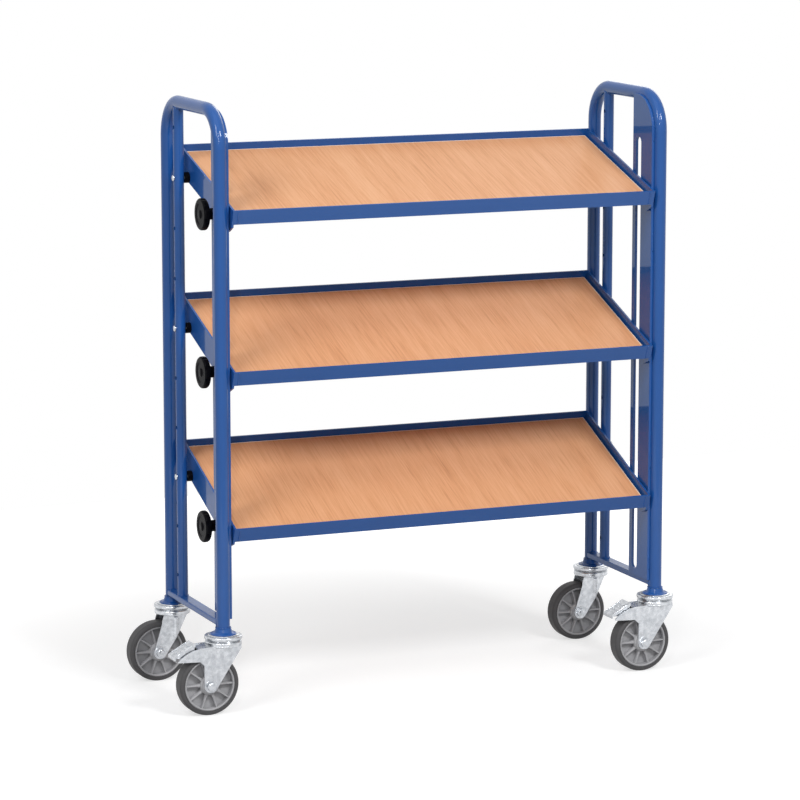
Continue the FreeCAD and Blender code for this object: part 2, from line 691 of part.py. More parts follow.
def make_fork(corner, braked):
    """Pressed fork: a dished crown, two tapered legs and, if braked, an arm."""
    node = f"{corner[0]}_fork"
    parts = [rounded_rod(node + "_crown", crown_radius, crown_thick, crown_edge, z=crown_bottom)]
    leg_y = fork_inside / 2 + fork_wall / 2
    for side, sign in (("near", -1), ("far", 1)):
        leg = plate(f"{node}_{side}_leg", "XZ_Plane", fork_leg_corners(braked), fork_wall)
        parts.append(place(leg, y=sign * leg_y))
        if not braked:
            parts += folded_front(f"{node}_{side}", sign, leg_y)
        boss_y = -fork_outside if sign < 0 else fork_inside / 2
        parts.append(rod(f"{node}_{side}_boss", fork_boss, fork_wall, -trail, boss_y, wheel_radius, "y"))
    if braked:
        roof = plate(node + "_roof", "XZ_Plane", roof_corners(), fork_inside + fork_wall)
        parts.append(roof)
    tools = [rod(node + "_pin_bore", kingpin_radius + run_gap, crown_thick, z=crown_bottom),
             rod(node + "_axle_bore", axle_radius + hole_clearance, fork_outside * 2, -trail, -fork_outside,
                 wheel_radius, "y")]
    if braked:
        tools.append(rod(node + "_pedal_bore", pedal_pin_radius + run_gap, fork_outside * 2, -pedal_pin, -fork_outside,
                         crown_bottom - pedal_pin_drop, "y"))
    piece(node, under(corner, cut(node, fuse(node + "_body", *parts), *tools)))


def folded_front(name, sign, leg_y):
    """Front part of a plain leg, folded inward about an upright line below the swivel axis."""
    top = crown_bottom + crown_edge
    corners = [(ZERO, top), (fork_front, top), (fork_front, crown_bottom - crown_edge), (ZERO, fold_bottom)]
    flange = plate(name + "_flange", "XZ_Plane", corners, fork_wall)
    place(flange, y=sign * leg_y, axis=Vector(0, 0, 1), angle=-sign * fork_fold)
    bend = rod(name + "_fold", fork_wall / 2, top - fold_bottom, y=sign * leg_y, z=fold_bottom)
    return [flange, bend]


def roof_corners():
    """Sloping cover between the two brake arms, behind the crown."""
    top = crown_bottom + crown_edge
    share = (roof_reach - fork_rear) / (arm_reach - fork_rear)
    drop = arm_tip_drop * share * share
    return [(-fork_rear / 2, top), (-fork_rear, top), (-roof_reach, top - drop),
            (-roof_reach, top - drop - roof_wall), (-fork_rear, top - roof_wall), (-fork_rear / 2, top - roof_wall)]


def make_axle(corner):
    """Axle bolt with its head and nut against the fork's legs."""
    node = f"{corner[0]}_axle"
    half = fork_outside + weld_gap
    shank = rod(node + "_shank", axle_radius, half * 2, -trail, -half, wheel_radius, "y")
    head = hexagon(node + "_head", axle_flats, axle_head, -trail, -half - axle_head, wheel_radius, "y")
    nut = hexagon(node + "_nut", axle_flats, axle_head, -trail, half, wheel_radius, "y")
    piece(node, under(corner, fuse(node, shank, head, nut)))


def make_wheel(corner):
    """Wheel centre: hub, thin web, ribs on both faces and a rim, with a tyre round it."""
    node = f"{corner[0]}_wheel"
    hub_length = fork_inside - slide_gap * 2
    hub = rod(node + "_hub", hub_radius, hub_length, y=-hub_length / 2, along="y")
    web = rod(node + "_web", rim_radius - rim_thick / 2, web_thick, y=-web_thick / 2, along="y")
    rim = cut(node + "_rim", rod(node + "_rim_body", rim_radius, rim_width, y=-rim_width / 2, along="y"),
              rod(node + "_rim_bore", rim_radius - rim_thick, rim_width, y=-rim_width / 2, along="y"))
    parts = [hub, web, rim]
    for index in range(RIBS):
        rib = block(f"{node}_rib{index}", rim_radius - rim_thick / 2, rib_width, rib_thick, y=-rib_width / 2,
                    z=-rib_thick / 2)
        spoke = group(f"{node}_spoke{index}", rib)
        parts.append(place(spoke, axis=Vector(0, 1, 0), angle=360 / RIBS * index))
    centre = cut(node, fuse(node + "_body", *parts),
                 rod(node + "_bore", axle_radius + run_gap, hub_length, y=-hub_length / 2, along="y"))
    piece(node, on_axle(corner, centre))
    tyre = f"{corner[0]}_tyre"
    tread = rounded_rod(tyre + "_tread", wheel_radius, tyre_width, tyre_shoulder, y=-tyre_width / 2, along="y")
    ring = cut(tyre, tread, rod(tyre + "_bore", rim_radius + weld_gap, tyre_width, y=-tyre_width / 2, along="y"))
    piece(tyre, on_axle(corner, ring))


def on_axle(corner, obj):
    name, sign_x, sign_y = corner
    return place(obj, middle_x + sign_x * upright_spacing / 2 - trail, sign_y * loop_depth / 2, wheel_radius)


def make_pedal(corner):
    """Brake pedal: a sloping foot plate with turned-down edges, and a lug on a pin between the arms."""
    node = f"{corner[0]}_brake_pedal"
    pin_z = crown_bottom - pedal_pin_drop
    low_x = -pedal_reach
    high_x = pedal_length * cosine(pedal_slope) - pedal_reach
    high_z = crown_bottom + pedal_rise
    low_z = high_z - pedal_length * sine(pedal_slope)
    foot = [(low_x, low_z), (high_x, high_z), (high_x, high_z - pedal_thick * 2),
            (high_x - pedal_thick, high_z - pedal_thick * 2), (low_x + pedal_thick, low_z - pedal_thick / 2),
            (low_x + pedal_thick, low_z - pedal_thick * 2), (low_x, low_z - pedal_thick * 2)]
    tread = plate(node + "_tread", "XZ_Plane", foot, fork_inside - pedal_side_gap * 2)
    half_lug = pedal_pin_radius * LUG_RADII
    middle_z = (low_z + high_z) / 2
    lug = plate(node + "_lug", "XZ_Plane", [
        (-pedal_pin - half_lug, middle_z - pedal_thick * 2), (-pedal_pin + half_lug, middle_z),
        (-pedal_pin + pedal_pin_radius * 2, pin_z - pedal_pin_radius),
        (-pedal_pin, pin_z - pedal_pin_radius * 2), (-pedal_pin - pedal_pin_radius * 2, pin_z - pedal_pin_radius)],
        pedal_lug)
    pin = rod(node + "_pin", pedal_pin_radius, fork_outside * 2, -pedal_pin, -fork_outside, pin_z, "y")
    piece(node, under(corner, fuse(node, tread, lug, pin)))


def make_casters():
    make_foot_collars()
    make_swivel_heads()
    for corner in CORNERS:
        braked = corner[2] < 0
        make_fork(corner, braked)
        make_axle(corner)
        make_wheel(corner)
        if braked:
            make_pedal(corner)


def make_frame():
    make_loops()
    make_cross_bars()
    make_posts()
    make_guides()
    make_pivot_bolts()


def make_shelves():
    for shelf in SHELVES:
        make_rails(shelf)
        make_board(shelf)
        make_clamp_bolts(shelf)
        make_spacers(shelf)
        for side, sign in SIDES:
            make_side_rail(shelf, side, sign)
            make_knob(shelf, side, sign)


def check_document():
    for obj in doc.Objects:
        if "Invalid" in obj.State or "Error" in obj.State:
            raise RuntimeError(f"{obj.Label} failed: {obj.State}")
    for node, obj in pieces.items():
        if obj.Shape.isNull() or not obj.Shape.isValid():
            raise RuntimeError(f"{node} has no valid shape")


def write_pieces():
    os.makedirs("parts", exist_ok=True)
    for node, obj in pieces.items():
        obj.Shape.exportStep(f"parts/{node}.step")
    print(f"{len(pieces)} pieces written")


make_frame()
make_shelves()
make_casters()
doc.recompute()
check_document()
write_pieces()
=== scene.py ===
# %% [markdown]
# # A shelf cart with tilting beech trays
# The cart is a welded tube frame in glossy blue paint, three trays with beech boards, black hand knobs and
# four bright zinc casters. Its rigid shapes come ready-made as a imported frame, in metres. What is left for
# Blender is what the eye reads first: paint, wood grain, zinc, rubber and small details.

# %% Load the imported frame
import json
import math

import bmesh
import bpy
from mathutils import Matrix, Vector


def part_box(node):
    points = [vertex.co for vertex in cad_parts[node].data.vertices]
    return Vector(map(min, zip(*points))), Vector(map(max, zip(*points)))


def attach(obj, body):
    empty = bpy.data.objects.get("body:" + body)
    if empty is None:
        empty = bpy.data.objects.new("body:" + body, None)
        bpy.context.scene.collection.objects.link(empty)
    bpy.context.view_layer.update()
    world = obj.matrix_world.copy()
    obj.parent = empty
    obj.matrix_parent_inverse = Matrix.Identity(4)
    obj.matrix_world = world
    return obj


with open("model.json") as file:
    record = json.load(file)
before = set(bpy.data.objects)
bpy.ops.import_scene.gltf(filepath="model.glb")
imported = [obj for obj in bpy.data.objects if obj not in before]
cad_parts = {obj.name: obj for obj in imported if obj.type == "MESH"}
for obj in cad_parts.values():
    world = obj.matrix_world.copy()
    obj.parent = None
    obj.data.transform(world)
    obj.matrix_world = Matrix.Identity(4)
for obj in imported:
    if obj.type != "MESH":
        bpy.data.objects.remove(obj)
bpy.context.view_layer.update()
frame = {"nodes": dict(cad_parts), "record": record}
nodes = frame["nodes"]
scene = bpy.context.scene
scene.view_settings.view_transform = "Standard"

# %% [markdown]
# ## Camera
# The photograph was taken from the front left, a little above the top tray, with a long lens from about
# seven metres. A long lens keeps the uprights almost parallel. The place and the angle come from a fit to
# the uprights, wheels and holes, so they are written as plain numbers.

# %% Place the camera
CAMERA_PLACE = (-2.8448, -6.7865, 1.8233)
CAMERA_TURN = 22.757      # degrees from straight ahead, to the right
CAMERA_DIP = 9.574        # degrees below the horizon
CAMERA_LENS = 162.49      # mm
SENSOR_WIDTH = 36.0       # mm
CAMERA_REACH = 200.0      # metres, the farthest that the camera sees

camera_data = bpy.data.cameras.new("photo_camera")
camera_data.lens = CAMERA_LENS
camera_data.sensor_width = SENSOR_WIDTH
camera_data.clip_end = CAMERA_REACH
camera = bpy.data.objects.new("photo_camera", camera_data)
camera.location = CAMERA_PLACE
camera.rotation_euler = (math.radians(90 - CAMERA_DIP), 0, math.radians(-CAMERA_TURN))
scene.collection.objects.link(camera)
scene.camera = camera
print("camera at", CAMERA_PLACE)

# %% [markdown]
# ## Node helpers
# A material is a small graph. These helpers add a node with its settings and join two sockets, so that the
# materials below read as a list of what each finish is made of.

# %% Helpers for material graphs
def add_node(tree, kind, place, **settings):
    node = tree.nodes.new(kind)
    node.location = place
    for name, value in settings.items():
        setattr(node, name, value)
    return node


def join(tree, source, target):
    tree.links.new(source, target)


def new_finish(name):
    material = bpy.data.materials.new(name)
    material.use_nodes = True
    tree = material.node_tree
    shader = tree.nodes["Principled BSDF"]
    return material, tree, shader


def tint(tree, place, fac, low, high):
    """A two-colour ramp: low where the mask is 0, high where it is 1."""
    ramp = add_node(tree, "ShaderNodeValToRGB", place)
    ramp.color_ramp.elements[0].color = (*low, 1)
    ramp.color_ramp.elements[1].color = (*high, 1)
    join(tree, fac, ramp.inputs["Fac"])
    return ramp.outputs["Color"]


def spread(tree, place, fac, low, high):
    """Maps a 0 to 1 mask onto a range of numbers, for roughness."""
    node = add_node(tree, "ShaderNodeMapRange", place)
    node.inputs["To Min"].default_value = low
    node.inputs["To Max"].default_value = high
    join(tree, fac, node.inputs["Value"])
    return node.outputs["Result"]


def bump(tree, place, height, strength, distance):
    node = add_node(tree, "ShaderNodeBump", place)
    node.inputs["Strength"].default_value = strength
    node.inputs["Distance"].default_value = distance
    join(tree, height, node.inputs["Height"])
    return node.outputs["Normal"]


def wear(tree, shader, colour, rough, normal):
    """Joins a colour, a roughness and a surface direction to the shader."""
    join(tree, colour, shader.inputs["Base Color"])
    join(tree, rough, shader.inputs["Roughness"])
    join(tree, normal, shader.inputs["Normal"])


print("helpers ready")

# %% [markdown]
# ## Shared effects
# Several finishes share two effects. The first is a fine skin: the orange peel of powder coat, the grain of
# moulded plastic and the crystal look of zinc are all one noise at different sizes. The second is handling
# marks: large soft patches that make a surface a little duller or lighter in places. Each is a node group,
# so it is built once and placed in each material with its own values.

# %% Build the shared effects
SKIN_LOW = 0.3            # noise below this is 0 in the skin's mask
SKIN_HIGH = 0.7           # noise above this is 1
MARK_DETAIL = 5.0
NOISE_MIDDLE = 0.5


def new_effect(name, inputs, outputs):
    group = bpy.data.node_groups.new(name, "ShaderNodeTree")
    for label, default in inputs:
        socket = group.interface.new_socket(name=label, in_out="INPUT", socket_type="NodeSocketFloat")
        socket.default_value = default
    for label in outputs:
        group.interface.new_socket(name=label, in_out="OUTPUT", socket_type="NodeSocketFloat")
    entry = add_node(group, "NodeGroupInput", (-700, 0))
    leave = add_node(group, "NodeGroupOutput", (500, 0))
    return group, entry, leave


def make_skin():
    group, entry, leave = new_effect("fine_skin", [("Size", 400.0), ("Detail", 2.0)], ["Height", "Mask"])
    where = add_node(group, "ShaderNodeTexCoord", (-700, 250))
    noise = add_node(group, "ShaderNodeTexNoise", (-350, 150))
    join(group, where.outputs["Object"], noise.inputs["Vector"])
    join(group, entry.outputs["Size"], noise.inputs["Scale"])
    join(group, entry.outputs["Detail"], noise.inputs["Detail"])
    sharpen = add_node(group, "ShaderNodeMapRange", (0, 0))
    sharpen.inputs["From Min"].default_value = SKIN_LOW
    sharpen.inputs["From Max"].default_value = SKIN_HIGH
    join(group, noise.outputs["Fac"], sharpen.inputs["Value"])
    join(group, noise.outputs["Fac"], leave.inputs["Height"])
    join(group, sharpen.outputs["Result"], leave.inputs["Mask"])
    return group


def make_marks():
    group, entry, leave = new_effect("handling_marks", [("Size", 6.0), ("Spread", 0.5)], ["Mask"])
    where = add_node(group, "ShaderNodeTexCoord", (-700, 250))
    patches = add_node(group, "ShaderNodeTexNoise", (-350, 150))
    patches.inputs["Detail"].default_value = MARK_DETAIL
    join(group, where.outputs["Object"], patches.inputs["Vector"])
    join(group, entry.outputs["Size"], patches.inputs["Scale"])
    centre = add_node(group, "ShaderNodeMath", (-100, 0), operation="SUBTRACT")
    centre.inputs[1].default_value = NOISE_MIDDLE
    join(group, patches.outputs["Fac"], centre.inputs[0])
    scale = add_node(group, "ShaderNodeMath", (80, 0), operation="MULTIPLY")
    join(group, centre.outputs["Value"], scale.inputs[0])
    join(group, entry.outputs["Spread"], scale.inputs[1])
    lift = add_node(group, "ShaderNodeMath", (260, 0), operation="ADD", use_clamp=True)
    lift.inputs[1].default_value = NOISE_MIDDLE
    join(group, scale.outputs["Value"], lift.inputs[0])
    join(group, lift.outputs["Value"], leave.inputs["Mask"])
    return group


SKIN = make_skin()
MARKS = make_marks()


def use_effect(tree, group, place, **values):
    node = add_node(tree, "ShaderNodeGroup", place)
    node.node_tree = group
    for name, value in values.items():
        node.inputs[name].default_value = value
    return node


print("effects:", SKIN.name, MARKS.name)

# %% [markdown]
# ## Blue powder coat
# The frame and the trays are sprayed with a glossy blue powder. Baked powder has a very fine orange peel,
# which shows only in the highlights, and a clear, hard gloss. A clear coat over a slightly uneven base
# gives both.

# %% Blue powder coat
BLUE_DEEP = (0.010, 0.085, 0.324)
BLUE_LIGHT = (0.015, 0.099, 0.360)
BLUE_COAT = 0.6
BLUE_COAT_ROUGHNESS = 0.05
BLUE_GLOSS = 0.10


def make_blue_paint():
    material, tree, shader = new_finish("blue_paint")
    peel = use_effect(tree, SKIN, (-700, -250), Size=260.0, Detail=1.0)
    marks = use_effect(tree, MARKS, (-700, 150), Size=9.0, Spread=1.2)
    colour = tint(tree, (-400, 250), marks.outputs["Mask"], BLUE_DEEP, BLUE_LIGHT)
    rough = spread(tree, (-400, 0), marks.outputs["Mask"], low=0.38, high=0.50)
    normal = bump(tree, (-250, -250), peel.outputs["Height"], strength=0.12, distance=0.0006)
    wear(tree, shader, colour, rough, normal)
    shader.inputs["Coat Weight"].default_value = BLUE_COAT
    shader.inputs["Coat Roughness"].default_value = BLUE_COAT_ROUGHNESS
    shader.inputs["Specular IOR Level"].default_value = BLUE_GLOSS
    return material


BLUE = make_blue_paint()
print("made", BLUE.name)

# %% [markdown]
# ## Beech boards
# The boards are beech-faced: a warm pink-brown with long fine pores and short dark flecks, all along the
# grain, which runs from the back of the tray to the front. A paler colour painted on the edges is a painted
# highlight of the light that the rounded edges catch. The boards lie at three different tilts, so each gets
# its own copy of the finish with its grain turned to lie in the board.

# %% Steps of the beech finish
def lay_grain(tree, source, place, shift, scale):
    """Coordinates moved to their own part of a pattern and squeezed along the grain."""
    node = add_node(tree, "ShaderNodeMapping", place)
    node.inputs["Location"].default_value = shift
    node.inputs["Scale"].default_value = scale
    join(tree, source, node.inputs["Vector"])
    return node.outputs["Vector"]


def grain_noise(tree, source, place, **values):
    node = add_node(tree, "ShaderNodeTexNoise", place)
    for name, value in values.items():
        node.inputs[name].default_value = value
    join(tree, source, node.inputs["Vector"])
    return node.outputs["Fac"]


def falling(tree, source, place, start, end):
    """A mask that is 1 up to start and falls to 0 at end."""
    node = add_node(tree, "ShaderNodeMapRange", place)
    node.inputs["From Min"].default_value = start
    node.inputs["From Max"].default_value = end
    node.inputs["To Min"].default_value = 1.0
    node.inputs["To Max"].default_value = 0.0
    join(tree, source, node.inputs["Value"])
    return node.outputs["Result"]


def share_of(tree, source, place, share):
    node = add_node(tree, "ShaderNodeMath", place, operation="MULTIPLY")
    node.inputs[1].default_value = share
    join(tree, source, node.inputs[0])
    return node.outputs["Value"]


def lay_over(tree, place, mask, base, colour):
    """A colour laid over another where the mask is 1."""
    node = add_node(tree, "ShaderNodeMix", place, data_type="RGBA")
    node.inputs["B"].default_value = (*colour, 1)
    join(tree, mask, node.inputs["Factor"])
    join(tree, base, node.inputs["A"])
    return node.outputs["Result"]


print("beech steps ready")

# %% Beech finish
BEECH_DARK = (0.65, 0.295, 0.132)
BEECH_MID = (0.78, 0.380, 0.184)
BEECH_PALE = (0.85, 0.452, 0.236)
# Painted highlight: a paler colour on the boards' edges for the light that their rounded edges catch
EDGE_HIGHLIGHT = (0.93, 0.76, 0.60)
BEECH_STOPS = ((0.32, BEECH_DARK), (0.62, BEECH_PALE))
MID_STOP = 0.46
STREAK_SCALE = (1.0, 0.028, 0.4)
FLECK_SCALE = (1.0, 0.13, 1.0)
FLECK_SIZE = 420.0
STREAK_SHARE = 0.72
BAND_SHARE = 0.28
FLECK_SHARE = 0.22
BEECH_GLOSS = 0.18


def beech_tone(tree, streaks, bands):
    """Long streaks, and broad bands where one strip of veneer meets the next, as one colour."""
    tone = add_node(tree, "ShaderNodeMath", (-900, 150), operation="MULTIPLY_ADD", use_clamp=True)
    tone.inputs[1].default_value = STREAK_SHARE
    join(tree, streaks, tone.inputs[0])
    join(tree, share_of(tree, bands, (-1000, 50), BAND_SHARE), tone.inputs[2])
    ramp = add_node(tree, "ShaderNodeValToRGB", (-700, 200))
    for stop, (position, colour) in zip(ramp.color_ramp.elements, BEECH_STOPS):
        stop.position = position
        stop.color = (*colour, 1)
    middle = ramp.color_ramp.elements.new(MID_STOP)
    middle.color = (*BEECH_MID, 1)
    join(tree, tone.outputs["Value"], ramp.inputs["Fac"])
    return ramp.outputs["Color"]


def fleck_mask(tree, level, offset):
    """Short dark flecks: cells drawn out along the grain."""
    place = lay_grain(tree, level, (-1300, -250), (0, offset, 0), FLECK_SCALE)
    flecks = add_node(tree, "ShaderNodeTexVoronoi", (-1100, -250), feature="F1")
    flecks.inputs["Scale"].default_value = FLECK_SIZE
    join(tree, place, flecks.inputs["Vector"])
    mask = falling(tree, flecks.outputs["Distance"], (-900, -250), start=0.10, end=0.26)
    return share_of(tree, mask, (-600, -150), FLECK_SHARE)


def edge_highlight_mask(tree, normal, tilt):
    """1 where the surface turns away from the board's two large faces: the rounded edges, which get a painted
    highlight.
    """
    facing = add_node(tree, "ShaderNodeVectorMath", (-1300, -500), operation="DOT_PRODUCT")
    facing.inputs[1].default_value = Matrix.Rotation(math.radians(tilt), 3, "X") @ Vector((0, 0, 1))
    join(tree, normal, facing.inputs[0])
    either_face = add_node(tree, "ShaderNodeMath", (-1100, -500), operation="ABSOLUTE")
    join(tree, facing.outputs["Value"], either_face.inputs[0])
    return falling(tree, either_face.outputs["Value"], (-900, -500), start=0.75, end=0.99)


def make_beech(name, tilt, offset):
    material, tree, shader = new_finish(name)
    where = add_node(tree, "ShaderNodeTexCoord", (-1700, 0))
    level = add_node(tree, "ShaderNodeVectorRotate", (-1500, 0), rotation_type="X_AXIS")
    level.inputs["Angle"].default_value = -math.radians(tilt)
    join(tree, where.outputs["Object"], level.inputs["Vector"])
    along = lay_grain(tree, level.outputs["Vector"], (-1300, 200), (offset, 0, 0), STREAK_SCALE)
    streaks = grain_noise(tree, along, (-1100, 250), Scale=340.0, Detail=6.0, Roughness=0.62)
    bands = grain_noise(tree, along, (-1100, 0), Scale=24.0, Detail=2.0)
    wood = beech_tone(tree, streaks, bands)
    flecked = lay_over(tree, (-400, 150), fleck_mask(tree, level.outputs["Vector"], offset), wood, BEECH_DARK)
    # Painted highlight: a paler colour where the surface turns away from the faces, at the rounded edges
    highlighted = lay_over(tree, (-200, 200), edge_highlight_mask(tree, where.outputs["Normal"], tilt), flecked, EDGE_HIGHLIGHT)
    rough = spread(tree, (-400, -50), streaks, low=0.50, high=0.38)
    normal = bump(tree, (-250, -300), streaks, strength=0.10, distance=0.0004)
    wear(tree, shader, highlighted, rough, normal)
    shader.inputs["Specular IOR Level"].default_value = BEECH_GLOSS
    return material


SHELF_TILTS = {"top": 17.9, "middle": 21.1, "bottom": 23.1}
GRAIN_STEP = 3.7          # moves each board to another part of the pattern
BEECH = {}
for number, (shelf, tilt) in enumerate(SHELF_TILTS.items()):
    BEECH[shelf] = make_beech(f"beech_{shelf}", tilt, GRAIN_STEP * number)
print("made", sorted(BEECH))

# %% [markdown]
# ## Zinc, plastic and rubber
# The casters are bright zinc plate: a metal with a fine mottled sheen. The wheel centres are moulded grey
# plastic, the knobs and bushes black plastic, and the tyres grey rubber with a dusty matt tread.

# %% Metal, plastic and rubber finishes
ZINC_DARK = (0.44, 0.46, 0.49)
ZINC_PALE = (0.64, 0.66, 0.69)
ROUGHNESS_SWING = 0.06    # how far a moulding's roughness strays to either side


def make_zinc():
    material, tree, shader = new_finish("zinc")
    crystal = use_effect(tree, SKIN, (-700, -250), Size=120.0, Detail=3.0)
    marks = use_effect(tree, MARKS, (-700, 150), Size=25.0, Spread=1.6)
    colour = tint(tree, (-400, 250), crystal.outputs["Mask"], ZINC_DARK, ZINC_PALE)
    rough = spread(tree, (-400, 0), marks.outputs["Mask"], low=0.18, high=0.32)
    normal = bump(tree, (-250, -250), crystal.outputs["Height"], strength=0.10, distance=0.0006)
    wear(tree, shader, colour, rough, normal)
    shader.inputs["Metallic"].default_value = 1.0
    return material


def make_moulded(name, low, high, roughness, grain_size, gloss):
    material, tree, shader = new_finish(name)
    grain = use_effect(tree, SKIN, (-700, -250), Size=grain_size, Detail=3.0)
    marks = use_effect(tree, MARKS, (-700, 150), Size=30.0, Spread=1.5)
    colour = tint(tree, (-400, 250), marks.outputs["Mask"], low, high)
    smooth, coarse = roughness - ROUGHNESS_SWING, roughness + ROUGHNESS_SWING
    rough = spread(tree, (-400, 0), grain.outputs["Mask"], smooth, coarse)
    normal = bump(tree, (-250, -250), grain.outputs["Height"], strength=0.25, distance=0.0004)
    wear(tree, shader, colour, rough, normal)
    shader.inputs["Specular IOR Level"].default_value = gloss
    return material


ZINC = make_zinc()
BLACK = make_moulded("black_plastic", (0.004, 0.004, 0.006), (0.007, 0.007, 0.009),
                     roughness=0.30, grain_size=900.0, gloss=0.03)
GREY = make_moulded("grey_plastic", (0.38, 0.38, 0.395), (0.46, 0.46, 0.475),
                    roughness=0.42, grain_size=700.0, gloss=0.5)
RUBBER = make_moulded("tyre", (0.066, 0.064, 0.067), (0.090, 0.088, 0.091),
                      roughness=0.60, grain_size=500.0, gloss=0.35)
# A pale strip round each board: a painted highlight of the light line along the rounded board edges
EDGE_HIGHLIGHT_STRIP = make_moulded("painted_edge_highlight", (0.92, 0.74, 0.56), (0.96, 0.82, 0.67),
                      roughness=0.45, grain_size=300.0, gloss=0.35)
print("made", ZINC.name, BLACK.name, GREY.name, RUBBER.name, EDGE_HIGHLIGHT_STRIP.name)

# %% [markdown]
# ## Dress the frame
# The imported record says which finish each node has. Each node's one material slot takes the finish made
# above.

# %% Give every node its finish
FINISHES = {"blue_paint": BLUE, "black_plastic": BLACK, "zinc": ZINC, "grey_plastic": GREY, "tyre": RUBBER}


def dress_nodes():
    for entry in frame["record"]["subparts"]:
        name, slot = entry["node"], entry["material_slot"]
        finish = BEECH[name.split("_")[0]] if slot == "beech" else FINISHES[slot]
        mesh = nodes[name].data
        mesh.materials.clear()
        mesh.materials.append(finish)


dress_nodes()

# %% [markdown]
# ## Mesh helpers
# The rigid shapes are ready, so the pieces below are only what a maker adds to them: beads of weld, rolled
# lips, covers, washers, rib flares and foot grips. Most are turned on an axis or drawn along a path, so two
# helpers make them: one turns a profile round an axis, the other draws a round bead along a row of points.

# %% Helpers for the detail pieces
MM = 0.001
AXES = {"x": (Vector((0, 1, 0)), Vector((0, 0, 1)), Vector((1, 0, 0))),
        "y": (Vector((0, 0, 1)), Vector((1, 0, 0)), Vector((0, 1, 0))),
        "z": (Vector((1, 0, 0)), Vector((0, 1, 0)), Vector((0, 0, 1)))}
OFF_AXIS = Vector((0.31, 0.52, 0.80))     # a direction that no bead runs along
BEAD_TAPER = 0.35                         # share of a bead's radius that is left at an open end
WELD_CREASE = 80                          # degrees; ripples of weld stay smooth


def turns(count):
    """Equal steps round a full turn, in radians."""
    return [2 * math.pi * step / count for step in range(count)]


def bridge(shape, here, following):
    """Closes the strip between two rings of points with faces."""
    count = len(here)
    for index in range(count):
        after = (index + 1) % count
        shape.faces.new((here[index], here[after], following[after], following[index]))


def add_turned(shape, profile, centre, along, steps=64):
    """Turns a profile of (radius, height) pairs in mm round an axis; the profile closes on itself."""
    out, side, up = AXES[along]
    rings = []
    for angle in turns(steps):
        away = out * math.cos(angle) + side * math.sin(angle)
        places = [centre + (away * radius + up * height) * MM for radius, height in profile]
        rings.append([shape.verts.new(place) for place in places])
    for step in range(steps):
        bridge(shape, rings[(step + 1) % steps], rings[step])


def add_bead(shape, points, radius, closed=False, ripple=0.16, pitch=3.2, sides=8):
    """Draws a rippled round bead, like a run of weld, along points in mm."""
    rings = []
    travelled = 0.0
    count = len(points)
    for index, point in enumerate(points):
        before = points[index - 1] if index or closed else point
        after = points[(index + 1) % count] if index + 1 < count or closed else point
        ahead = (after - before).normalized()
        travelled += (point - before).length
        side = ahead.cross(OFF_AXIS).normalized()
        up = ahead.cross(side)
        swell = radius * (1 + ripple * math.sin(2 * math.pi * travelled / pitch))
        if not closed and index in (0, count - 1):
            swell = radius * BEAD_TAPER
        ring = [point + (side * math.cos(angle) + up * math.sin(angle)) * swell for angle in turns(sides)]
        rings.append([shape.verts.new(place * MM) for place in ring])
    for index in range(count if closed else count - 1):
        bridge(shape, rings[index], rings[(index + 1) % count])
    if not closed:
        shape.faces.new(rings[0])
        shape.faces.new(rings[-1])


def finish_piece(name, shape, material, body, crease=40):
    """Turns a bmesh into a piece that rides on a body and takes its finish from a slot."""
    bmesh.ops.recalc_face_normals(shape, faces=shape.faces[:])
    mesh = bpy.data.meshes.new(name)
    shape.to_mesh(mesh)
    shape.free()
    mesh.shade_smooth()
    mesh.set_sharp_from_angle(angle=math.radians(crease))
    mesh.materials.append(material)
    piece = bpy.data.objects.new(name, mesh)
    scene.collection.objects.link(piece)
    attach(piece, body)
    return piece


def middle_of(node):
    low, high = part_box(node)
    return (Vector(low) + Vector(high)) / 2


print("mesh helpers ready")

# %% [markdown]
# ## Weld beads
# The frame is welded by hand, and the paint lies over the beads. A bead runs round each end of the cross
# bars, round the foot and the saddled top of each hole post and, in short stitches, down the front edge of
# each guide plate. They are thin rippled runs, drawn along the seams they close.

# %% Weld the frame
TUBE_RADIUS = 13.5
POST_RADIUS = 10.75
BAR_HALF_WIDTH = 12.6
BAR_BEAD = 1.7            # radii of the beads, in mm
POST_BEAD = 1.6
STITCH_BEAD = 1.8
BAR_INSET = 0.6           # how far a bead's middle lies from the edges it closes
POST_GAP = 0.4
STITCH_INSET = 1.4
STITCH_SINK = 0.2
# Stitches: lowest and highest point over the floor, in mm
STITCHES = ((1112, 1146), (884, 924), (428, 462), (212, 240))
BAR_STEPS = 16
POST_STEPS = 40
STITCH_STEPS = 18


def tube_reach(across):
    """How far a round tube's surface lies from its axis, seen at a sideways offset."""
    return math.sqrt(TUBE_RADIUS ** 2 - across ** 2)


def bar_seam(tube_x, tube_y, inward, low, high):
    """Seam round the end of a cross bar, on the surface of an upright."""
    offsets = [-BAR_HALF_WIDTH + BAR_HALF_WIDTH * 2 * n / BAR_STEPS for n in range(BAR_STEPS + 1)]
    over = [Vector((tube_x + x, tube_y + inward * tube_reach(x), high)) for x in offsets]
    under = [Vector((tube_x + x, tube_y + inward * tube_reach(x), low)) for x in reversed(offsets)]
    middle = (low + high) / 2
    right = Vector((tube_x + BAR_HALF_WIDTH, tube_y + inward * tube_reach(BAR_HALF_WIDTH), middle))
    left = Vector((tube_x - BAR_HALF_WIDTH, tube_y + inward * tube_reach(BAR_HALF_WIDTH), middle))
    return over + [right] + under + [left]


def post_seam(post, height_at):
    """Seam round a hole post, at a height that may follow the tube it meets."""
    seam = []
    for turn in turns(POST_STEPS):
        across = POST_RADIUS * math.cos(turn)
        seam.append(Vector((post.x + across, post.y + POST_RADIUS * math.sin(turn), height_at(across))))
    return seam


def stitch(x, y, low, high):
    return [Vector((x, y, low + (high - low) * n / STITCH_STEPS)) for n in range(STITCH_STEPS + 1)]


def box_in_mm(node):
    return [Vector(corner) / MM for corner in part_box(node)]


